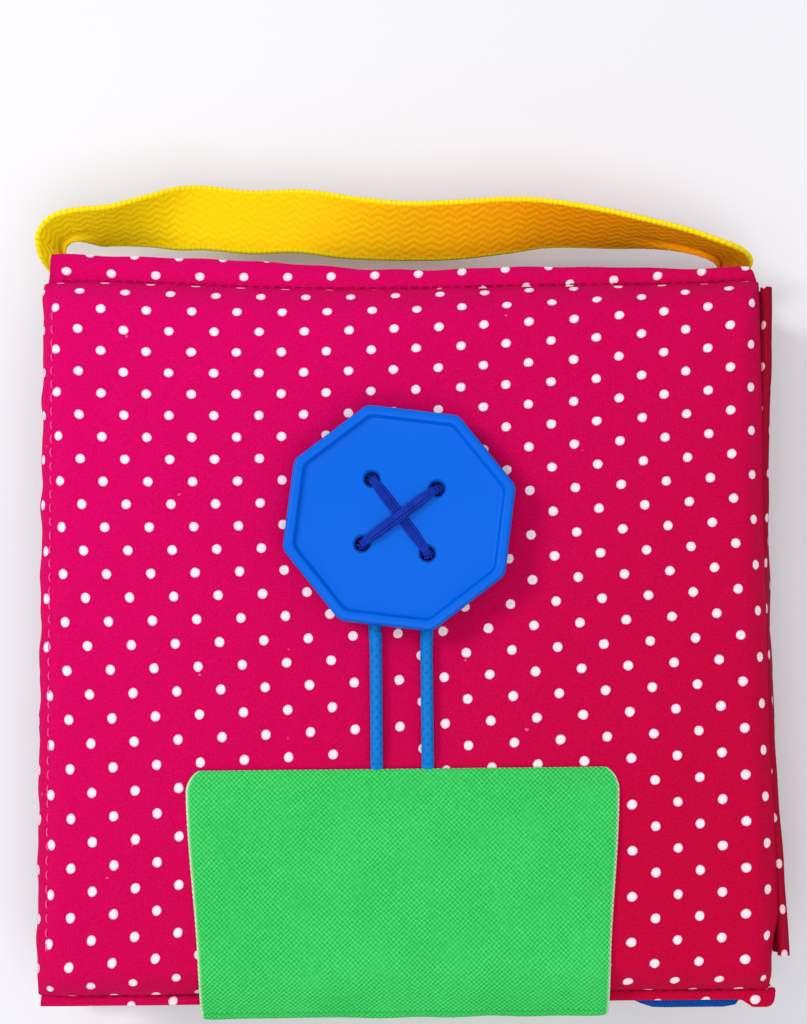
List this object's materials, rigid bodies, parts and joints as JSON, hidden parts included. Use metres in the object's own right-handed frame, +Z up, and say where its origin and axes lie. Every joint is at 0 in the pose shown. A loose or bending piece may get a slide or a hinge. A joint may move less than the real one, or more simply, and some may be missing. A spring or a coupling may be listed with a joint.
{
  "type": "busy board",
  "caption": "Padded fabric activity board that folds like a book, held shut by a flap whose elastic loop hooks under a large octagonal button, with a webbing handle.",
  "frame": {"origin": "middle of the back cover's outer face, on the plane the closed board lies on", "axes": "+X to the spine, +Y to the handle, +Z up through the closed board"},
  "size_m": [0.1696, 0.1892, 0.0502],
  "materials": {
    "dotted_cloth": "woven, matt, printed with small pale dots",
    "spine_cloth": "woven, matt, printed with small pale dots",
    "blue_canvas": "canvas, matt",
    "green_canvas": "coarse canvas, matt",
    "foam": "soft padding, hidden",
    "yellow_webbing": "herringbone webbing",
    "red_webbing": "plain webbing",
    "elastic_blue": "braided round elastic",
    "button_blue": "satin moulded",
    "thread_navy": "many strands of thread",
    "lace_white": "round braided lace",
    "black_plastic": "fine satin moulded",
    "steel": "plated, bright"
  },
  "bodies": {
    "back_cover": {"back_cover_fabric": "dotted_cloth", "back_cover_foam": "foam", "back_cover_lining": "blue_canvas", "handle_end_left": "yellow_webbing", "handle_end_right": "yellow_webbing", "lace_panel_left": "green_canvas", "lace_panel_right": "green_canvas", "eyelet_left_1": "steel", "eyelet_left_2": "steel", "eyelet_left_3": "steel", "eyelet_right_1": "steel", "eyelet_right_2": "steel", "eyelet_right_3": "steel", "lace": "lace_white", "snap_stud": "steel", "snap_tab_base": "red_webbing"},
    "spine": {"spine_fabric": "spine_cloth", "spine_foam": "foam", "spine_lining": "blue_canvas"},
    "front_cover": {"front_cover_fabric": "dotted_cloth", "front_cover_foam": "foam", "front_cover_lining": "blue_canvas", "belt_strap": "red_webbing", "buckle_socket": "black_plastic", "buckle_strap_left": "yellow_webbing", "buckle_strap_right": "yellow_webbing"},
    "belt_slider": {"belt_slider": "black_plastic"},
    "buckle_plug": {"buckle_plug": "black_plastic", "buckle_prong_lower": "black_plastic", "buckle_prong_upper": "black_plastic"},
    "button": {"button": "button_blue", "button_thread_over": "thread_navy", "button_thread_under": "thread_navy"},
    "flap_base": {"flap_base": "green_canvas"},
    "flap_front": {"flap_front": "green_canvas", "elastic_loop": "elastic_blue"},
    "handle": {"handle_strap": "yellow_webbing"},
    "snap_tab": {"snap_tab": "red_webbing", "snap_socket": "steel"}
  },
  "joints": [
    {"name": "spine_fold", "type": "hinge", "parent": "back_cover", "child": "spine", "pos_m": [0.0831, 0, 0.0045], "axis": [0, 1, 0], "range_deg": [0, 90], "deforming": ["flap_front", "elastic_loop"]},
    {"name": "cover_fold", "type": "hinge", "parent": "spine", "child": "front_cover", "pos_m": [0.0831, 0, 0.0315], "axis": [0, 1, 0], "range_deg": [0, 90]},
    {"name": "flap_fold", "type": "hinge", "parent": "back_cover", "child": "flap_base", "pos_m": [-0.0012, -0.08365, 0.00785], "axis": [1, 0, 0], "range_deg": [0, 90]},
    {"name": "tongue_unfold", "type": "hinge", "parent": "flap_base", "child": "flap_front", "pos_m": [-0.0012, -0.08365, 0.0305], "axis": [1, 0, 0], "range_deg": [0, 90]},
    {"name": "handle_swing", "type": "hinge", "parent": "back_cover", "child": "handle", "pos_m": [0, 0.0835, 0.01], "axis": [1, 0, 0], "range_deg": [-90, 20]},
    {"name": "button_turn", "type": "hinge", "parent": "front_cover", "child": "button", "pos_m": [-0.0012, 0.0235, 0.0419], "axis": [0, 0, 1], "range_deg": [-15, 15]},
    {"name": "slider_slide", "type": "slide", "parent": "front_cover", "child": "belt_slider", "axis": [1, 0, 0], "range_m": [-0.02, 0.02]},
    {"name": "plug_slide", "type": "slide", "parent": "front_cover", "child": "buckle_plug", "axis": [1, 0, 0], "range_m": [0, 0.022], "deforming": ["buckle_prong_lower", "buckle_prong_upper", "buckle_strap_right"]},
    {"name": "snap_tab_lift", "type": "hinge", "parent": "back_cover", "child": "snap_tab", "pos_m": [0.0215, 0, 0.0109], "axis": [0, -1, 0], "range_deg": [0, 120]}
  ],
  "couplings": [
    {"joint": "cover_fold", "follows": "spine_fold", "ratio": 1},
    {"joint": "tongue_unfold", "follows": "flap_fold", "ratio": 1}
  ]
}
